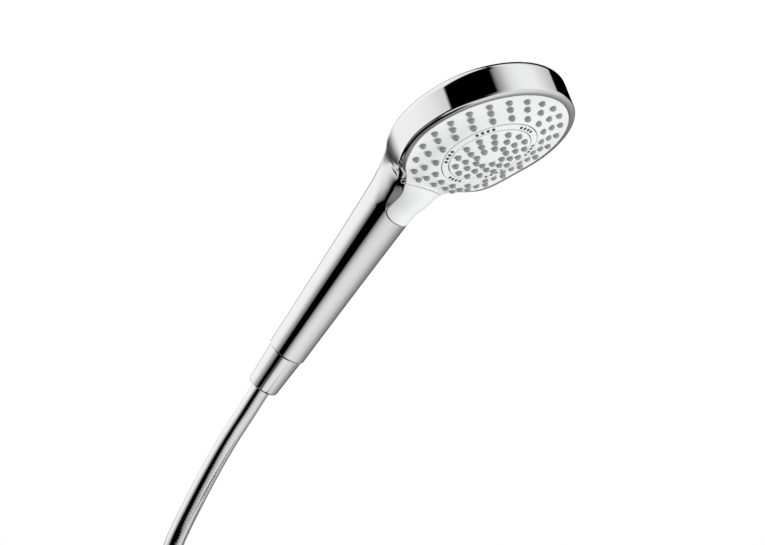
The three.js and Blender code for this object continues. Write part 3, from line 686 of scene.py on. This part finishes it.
def face_frame(s, w, step=0.05):
    """A point of the face's surface and the turn from the face's own axes to the surface there."""
    ahead = face_surface(s + step, w) - face_surface(s - step, w)
    aside = face_surface(s, w + step) - face_surface(s, w - step)
    normal = ahead.cross(aside).normalized()
    if normal.dot(Vector((COS_F, 0, -SIN_F))) < 0:
        normal = -normal
    ahead = (ahead - normal * ahead.dot(normal)).normalized()
    return face_surface(s, w), ahead, normal.cross(ahead), normal


def over_face(x, y, z):
    """The point z above the face's surface at (x, y), in the row frame."""
    at, _, _, normal = face_frame(x, y)
    return row(at + normal * z)


def arch_station(share, radius):
    """The station where a column of the front meets the arch between face and button."""
    low, high = 36.0, 66.0
    for _ in range(40):
        s = (low + high) / 2
        p = form(s, RIM_ANGLE * share)
        arch = BUTTON_TOP_S + ARCH_R - math.sqrt(radius**2 - p.y**2)
        if along_face(p) < arch:
            low = s
        else:
            high = s
    return low


def make_spray_face():
    """The white panel between the ring's seam and the rim, down to the arch."""
    edge = EDGE + PANEL_IN
    outline = []
    for turn in spread((180, 90, 60)):
        r = HEAD_R - edge
        outline.append((r * math.cos(math.radians(turn)), r * math.sin(math.radians(turn))))
    arch_r = ARCH_R + PANEL_IN / 2
    side = 1 - PANEL_IN / ARCH_HALF
    corner = arch_station(side, arch_r)
    outline += [(s, half_width(s, edge)) for s in spread((1.2, corner, 40))]
    for share in spread((side, 0, 20))[1:]:
        s = arch_station(share, arch_r)
        outline.append((s, share * half_width(s, EDGE)))
    rows = []
    for s, w in outline:
        out = math.hypot(s, w)
        inner = RING_OUT + RING_SEAM / 2 + ROLL
        x, y = s * inner / out, w * inner / out
        steps = [k / PANEL_STEPS for k in range(PANEL_STEPS + 1)]
        rows.append([(x + (s - x) * k, y + (w - y) * k) for k in steps])
    bm = bmesh.new()
    add_grid(bm, [[face_point(s, w) for s, w in points] for points in rows])
    both_sides(bm, on_face(0, 0, -200))
    roll_edges(bm)
    piece = finish_mesh("spray_face_looks", bm, "root", WHITE, 50)
    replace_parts(piece, "spray_face")


def plate_profile(r0, r1, steps=8):
    """A plate along the face with rounded edges, from r0 out to r1."""
    points = []
    if r0:
        points += [(r0, -SKIRT)] + arc(r0 + ROLL, -ROLL, ROLL, 180, 90, 4)
    else:
        points.append((0, 0))
    start = r0 + ROLL if r0 else 0
    for k in range(1, steps):
        points.append((start + (r1 - ROLL - start) * k / steps, 0))
    return points + arc(r1 - ROLL, -ROLL, ROLL, 90, 0, 4) + [(r1, -SKIRT)]


def make_plates():
    bm = bmesh.new()
    lathe(bm, plate_profile(RING_IN + RING_SEAM / 2, RING_OUT - RING_SEAM / 2), over_face, 144)
    face_out(bm, on_face(0, 0, -200))
    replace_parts(finish_mesh("ring_plate_looks", bm, "root", WHITE, 60), "ring_plate")
    bm = bmesh.new()
    lathe(bm, plate_profile(0, RING_IN - RING_SEAM / 2, 16), over_face, 144)
    face_out(bm, on_face(0, 0, -200))
    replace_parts(finish_mesh("centre_disc_looks", bm, "root", WHITE, 60), "centre_disc")


def ring_places(count, r, skip=False):
    for i in range(count):
        if skip and i in (0, count - 1):
            continue
        t = (i + 0.5) * 2 * math.pi / count
        yield r * math.cos(t), r * math.sin(t), t


def on_surface(x, y):
    at, ahead, aside, normal = face_frame(x, y)
    return lambda px, py, pz: row(at + ahead * px + aside * py + normal * pz)


def nozzle_profile():
    points = [(2.05, -0.9), (2.02, -0.05), (1.96, 0.1), (1.88, 0.4), (1.82, 0.75)]
    points += arc(0.75, 0.8, 1.06, 0, 90, 9)
    points += [(0.6, 1.83), (0.52, 1.76), (0.46, 1.6), (0.42, 1.1), (0, 1.1)]
    return points


def make_nozzles(name, node, places):
    bm = bmesh.new()
    profile = nozzle_profile()
    for x, y, _ in places:
        lathe(bm, profile, on_surface(x, y), 24)
    face_out(bm, on_face(0, 0, -200))
    piece = finish_mesh(name, bm, "root", GREY_RUBBER, 60)
    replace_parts(piece, node)


def make_jets():
    """Small jets just proud of the ring plate, painted near-black as painted shade for recessed jet slots,
    and a near-black band under the ring plate's seams as painted shade in their gaps.
    """
    bm = bmesh.new()
    profile = [(1.0, -1.0), (1.0, 0.1), (0.92, 0.26), (0.74, 0.36), (0.4, 0.36), (0, 0.34)]
    # The jets are near-black: painted shade standing in for recessed jet slots.
    for group in range(6):
        for i in range(4):
            t = group * math.pi / 3 + (i - 1.5) * JET_STEP
            lathe(bm, profile, on_surface(JET_R * math.cos(t), JET_R * math.sin(t)), 20)
    # A near-black band under the ring plate's seams: painted shade, so the gaps read dark.
    low, high = -1.9, -1.4
    inner, outer = RING_IN - 1, RING_OUT + 1
    seam_shade = [(inner, high), (outer, high), (outer, low), (inner, low), (inner, high)]
    lathe(bm, seam_shade, over_face, 96)
    face_out(bm, on_face(0, 0, -200))
    piece = finish_mesh("jet_ring_looks", bm, "root", SLOT_AND_SEAM_SHADE, 60)
    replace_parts(piece, "jet_ring")


PIN_X, PIN_Z = 9.5, 146.5
LUG_FROM, LUG_TO, LUG_IN = 6.0, 8.5, 0.7
PAD_Z = 130
LEAST_WIDTH = 4.0


def front_x(y, z):
    """How far out the form's front lies at (y, z)."""
    low, high = 30.0, 90.0
    for _ in range(30):
        s = (low + high) / 2
        near, far = 0.0, 60.0
        for _ in range(30):
            angle = (near + far) / 2
            if form(s, angle).y < y:
                near = angle
            else:
                far = angle
        if form(s, near).z > z:
            low = s
        else:
            high = s
    return form(low, near).x


def add_lug(bm, y0, y1, hole=1.25, half=2.3, segments=24):
    """One of the button's two lugs: a plate down to the pin, round about its hole."""
    verts = []
    for y in (y0, y1):
        inner, outer_ring = [], []
        for i in range(segments):
            t = 2 * math.pi * i / segments
            c, s = math.cos(t), math.sin(t)
            inner.append(bm.verts.new(row((PIN_X + hole * c, y, PIN_Z + hole * s))))
            if c <= 0:
                x, z = PIN_X + half * c, PIN_Z + half * s
            else:
                z = PIN_Z + half * max(-1, min(1, s * 1.5))
                x = PIN_X + (front_x(abs(y), z) - LUG_IN - PIN_X) * min(1.0, c * 1.5)
            outer_ring.append(bm.verts.new(row((x, y, z))))
        verts.append((inner, outer_ring))
    (in0, out0), (in1, out1) = verts
    for i in range(segments):
        k = (i + 1) % segments
        bm.faces.new((in0[i], in0[k], out0[k], out0[i]))
        bm.faces.new((out1[i], out1[k], in1[k], in1[i]))
        bm.faces.new((out0[i], out0[k], out1[k], out1[i]))
        bm.faces.new((in1[i], in1[k], in0[k], in0[i]))


def add_pad(bm):
    """The pad behind the button that pushes the plunger."""
    at = Vector((0, 0, PAD_Z))
    profile = [(0, 12.6), (3.1, 12.6), (3.4, 12.8), (3.5, 13.2), (3.5, 14.7), (0, 14.7)]
    lathe(bm, profile, lambda x, y, z: row(at + Vector((z, y, -x))), 32)


def make_button():
    end = OPENING_END - 0.8
    rows = []
    columns = spread((0, 1, 20))
    tops = [arch_station(u * (1 - PANEL_IN / ARCH_HALF), ARCH_R - PANEL_IN / 2) for u in columns]
    for k in range(41):
        v = math.sin(math.pi / 2 * k / 40)
        points = []
        for u, top in zip(columns, tops):
            s = top + (end - top) * v
            edge = opening_angle(s, end)
            width = max(LEAST_WIDTH, form(s, max(edge, 1)).y)
            points.append(form(s, edge * u * max(0.0, 1 - BUTTON_IN / width)))
        rows.append(points)
    bm = bmesh.new()
    add_grid(bm, rows)
    both_sides(bm, (-60, 0, 120))
    roll_edges(bm)
    behind = bmesh.new()
    add_lug(behind, LUG_FROM, LUG_TO)
    add_lug(behind, -LUG_TO, -LUG_FROM)
    add_pad(behind)
    bmesh.ops.recalc_face_normals(behind, faces=behind.faces[:])
    scratch = bpy.data.meshes.new("behind")
    behind.to_mesh(scratch)
    behind.free()
    bm.from_mesh(scratch)
    bpy.data.meshes.remove(scratch)
    piece = finish_mesh("button_looks", bm, "button", WHITE, 50)
    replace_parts(piece, "select_button")


# ---------------------------------------------------------------- the room
# Each sun: where its light comes from, its strength and its width in degrees.
SUN_FROM_BELOW = ((0.49, 0.53, -0.69), 1.85, 20)
SUN_FROM_ABOVE = ((-0.25, 0.3, 0.92), 1.5, 40)
SKY_STRENGTH = 0.58
FLOOR_HALF = 3.0


def add_sun(name, direction, strength, softness):
    data = bpy.data.lights.new(name, "SUN")
    data.energy = strength
    data.angle = math.radians(softness)
    sun = bpy.data.objects.new(name, data)
    sun.rotation_euler = Vector(direction).to_track_quat("Z", "Y").to_euler()
    bpy.context.scene.collection.objects.link(sun)
    sun.visible_glossy = False


def add_floor():
    bm = bmesh.new()
    bmesh.ops.create_grid(bm, x_segments=8, y_segments=8, size=FLOOR_HALF)
    mesh = bpy.data.meshes.new("floor")
    bm.to_mesh(mesh)
    bm.free()
    floor = bpy.data.objects.new("floor", mesh)
    floor.location = (0, 0, FLOOR * MM)
    bpy.context.scene.collection.objects.link(floor)
    material, tree, shader = new_material("pale_floor", (0.86, 0.86, 0.86), 0.7)
    patch = link_noise(tree, 3, 2)
    tint(tree, patch.outputs["Fac"], (0.85, 0.85, 0.85), (0.88, 0.88, 0.88), shader.inputs["Base Color"])
    mesh.materials.append(material)
    floor.visible_glossy = False
    floor.visible_shadow = False
    floor.visible_diffuse = False


# What the chrome reflects, as bands about the object: degrees round from REFLECT_FROM, or degrees of rise,
# with the brightness on screen.
REFLECT_FROM = 160
HIGH_BANDS = [
    (0, 0.97), (53, 0.965), (68, 0.945), (82, 0.915), (100, 0.83), (101.2, 0), (157.5, 0), (160, 0.42),
    (163.5, 0.56), (167, 0.64), (171.5, 0.72), (175, 0.78), (181.5, 0.86), (188, 0.91), (197, 0.935),
    (208, 0.95), (230, 0.945), (240, 0.9), (250, 0.85), (259, 0.8), (269.5, 0.74), (270.7, 0), (334, 0),
    (336, 0.6), (352, 0.68), (358, 0.97),
]
LEFT_BANDS = [(0, 0.92), (40, 0.92), (62, 0.85), (73, 0.73), (85, 0.61), (92, 0.42), (95, 0)]
LEFT_FALL = [(-27, 0), (-25.5, 0.3), (-22, 0.62), (-18, 0.8), (-14, 0.91), (-8, 1)]
RIGHT_BANDS = [(172, 0), (200, 1)]
LOW_SIDES = [
    (100, 1), (140, 0.93), (200, 0.88), (231, 0.86), (245, 0.83), (259, 0.8), (271, 0.71), (286, 0.6),
    (305, 0.44), (316, 0.28), (345, 0.5), (360, 0.85),
]
FLOOR_BANDS = [(-65, 0.93), (-56, 0.89), (-50, 0.82), (-44.5, 0.7), (-39.3, 0.5), (-36, 0)]
FLOOR_CAP = [
    (0, 0), (44, 0), (58, 0.42), (75, 0.5), (95, 0.45), (106, 0.33), (116, 0.33), (120, 0.5), (123, 0.72),
    (130, 1), (328, 1), (333, 0), (360, 0),
]
BAND_SLANT, BAND_SLANT_FROM = 0.207, 27
FLOOR_SLANT = 0.12
FLOOR_SLANT_FROM = 120
FLOOR_SLANT_LEAST, FLOOR_SLANT_MOST = -1.5, 9
NADIR = (-73, -67)
LOW_TO_HIGH = (-6, 14)
PATCH_AT = -10
PATCH_ROUND = (15, 21)
PATCH_RISE = (-66, -58, -8, -3)
DUSK_ROUND = (-45, -25, -6, 22)
DUSK_RISE = (-3, 4, 9, 16)
DUSK_DEPTH = 0.86


def linear(shown):
    return ((shown + 0.055) / 1.055) ** 2.4 if shown > 0.04 else shown / 12.92


def node_math(tree, operation, *values):
    node = tree.nodes.new("ShaderNodeMath")
    node.operation = operation
    for socket, value in zip(node.inputs, values):
        if isinstance(value, (int, float)):
            socket.default_value = value
        else:
            tree.links.new(value, socket)
    return node.outputs[0]


def bands(tree, source, stops):
    """Brightness in bands along source, in degrees."""
    low, high = stops[0][0], stops[-1][0]
    place = tree.nodes.new("ShaderNodeMapRange")
    place.inputs["From Min"].default_value = low
    place.inputs["From Max"].default_value = high
    tree.links.new(source, place.inputs["Value"])
    ramp = tree.nodes.new("ShaderNodeValToRGB")
    elements = ramp.color_ramp.elements
    while len(elements) < len(stops):
        elements.new(0.5)
    for element, (at, shown) in zip(elements, stops):
        element.position = (at - low) / (high - low)
        element.color = (*[linear(shown)] * 3, 1)
    tree.links.new(place.outputs["Result"], ramp.inputs["Fac"])
    return ramp.outputs["Color"]


def step_between(tree, source, start, end):
    """Smoothly from 0 at start to 1 at end."""
    step = tree.nodes.new("ShaderNodeMapRange")
    step.interpolation_type = "SMOOTHSTEP"
    step.inputs["From Min"].default_value = start
    step.inputs["From Max"].default_value = end
    tree.links.new(source, step.inputs["Value"])
    return step.outputs["Result"]


def hump(tree, source, edges):
    """Up from 0 to 1 between the first two edges and down again between the last two."""
    up, down = step_between(tree, source, *edges[:2]), step_between(tree, source, *edges[:1:-1])
    return node_math(tree, "MULTIPLY", up, down)


def add_world():
    """White behind the object and all round it; only the chrome shows the bands and dark panels."""
    world = bpy.data.worlds.new("world")
    world.use_nodes = True
    tree = world.node_tree
    background = tree.nodes["Background"]
    coords = tree.nodes.new("ShaderNodeTexCoord")
    split = tree.nodes.new("ShaderNodeSeparateXYZ")
    tree.links.new(coords.outputs["Generated"], split.inputs["Vector"])
    turn = node_math(tree, "DEGREES", node_math(tree, "ARCTAN2", split.outputs["Y"], split.outputs["X"]))
    round_ = node_math(tree, "FLOORED_MODULO", node_math(tree, "SUBTRACT", turn, REFLECT_FROM), 360)
    rise = node_math(tree, "DEGREES", node_math(tree, "ARCSINE", split.outputs["Z"]))
    above = node_math(tree, "SUBTRACT", rise, BAND_SLANT_FROM)
    slanted = node_math(tree, "SUBTRACT", round_, node_math(tree, "MULTIPLY", above, BAND_SLANT))
    high = bands(tree, slanted, HIGH_BANDS)
    past = node_math(tree, "MULTIPLY", node_math(tree, "SUBTRACT", round_, FLOOR_SLANT_FROM), FLOOR_SLANT)
    past = node_math(tree, "MAXIMUM", node_math(tree, "MINIMUM", past, FLOOR_SLANT_MOST), FLOOR_SLANT_LEAST)
    floor = bands(tree, node_math(tree, "ADD", rise, past), FLOOR_BANDS)
    floor = node_math(tree, "MINIMUM", floor, bands(tree, round_, FLOOR_CAP))
    left = node_math(tree, "MULTIPLY", bands(tree, round_, LEFT_BANDS), bands(tree, rise, LEFT_FALL))
    sides = node_math(tree, "MAXIMUM", floor, left)
    sides = node_math(tree, "MAXIMUM", sides, bands(tree, round_, RIGHT_BANDS))
    low = node_math(tree, "MINIMUM", sides, bands(tree, round_, LOW_SIDES))
    near = node_math(tree, "WRAP", round_, 180, -180)
    away = node_math(tree, "ABSOLUTE", node_math(tree, "SUBTRACT", near, PATCH_AT))
    patch = hump(tree, rise, PATCH_RISE)
    patch = node_math(tree, "MULTIPLY", patch, step_between(tree, away, PATCH_ROUND[1], PATCH_ROUND[0]))
    low = node_math(tree, "MULTIPLY", low, node_math(tree, "SUBTRACT", 1, patch))
    low = node_math(tree, "MULTIPLY", low, step_between(tree, rise, *NADIR))
    mirror = tree.nodes.new("ShaderNodeMix")
    tree.links.new(step_between(tree, rise, *LOW_TO_HIGH), mirror.inputs[0])
    tree.links.new(low, mirror.inputs[2])
    tree.links.new(high, mirror.inputs[3])
    dusk = node_math(tree, "MULTIPLY", hump(tree, near, DUSK_ROUND), hump(tree, rise, DUSK_RISE))
    light = node_math(tree, "SUBTRACT", 1, node_math(tree, "MULTIPLY", dusk, DUSK_DEPTH))
    mirrored = node_math(tree, "MULTIPLY", mirror.outputs[0], light)
    path = tree.nodes.new("ShaderNodeLightPath")
    strength = tree.nodes.new("ShaderNodeMix")
    plain = node_math(tree, "MULTIPLY_ADD", path.outputs["Is Camera Ray"], 1 - SKY_STRENGTH, SKY_STRENGTH)
    tree.links.new(path.outputs["Is Glossy Ray"], strength.inputs[0])
    tree.links.new(plain, strength.inputs[2])
    tree.links.new(mirrored, strength.inputs[3])
    tree.links.new(strength.outputs[0], background.inputs["Strength"])
    background.inputs["Color"].default_value = (1, 1, 1, 1)
    bpy.context.scene.world = world


add_camera()
WALL_NUT = make_wall_nut()
make_hose()
paint_nodes()
make_cone_nut()
make_shell()
make_spray_face()
make_plates()
make_nozzles("outer_nozzles", "outer_nozzle_mat",
             [p for count, r in OUTER_RINGS for p in ring_places(count, r, r == 45)])
make_nozzles("inner_nozzles", "inner_nozzle_mat",
             [p for count, r in INNER_RINGS for p in ring_places(count, r)])
make_jets()
make_button()
add_floor()
add_sun("sun_below", *SUN_FROM_BELOW)
add_sun("sun_above", *SUN_FROM_ABOVE)
add_world()
bpy.context.scene.view_settings.view_transform = "Standard"
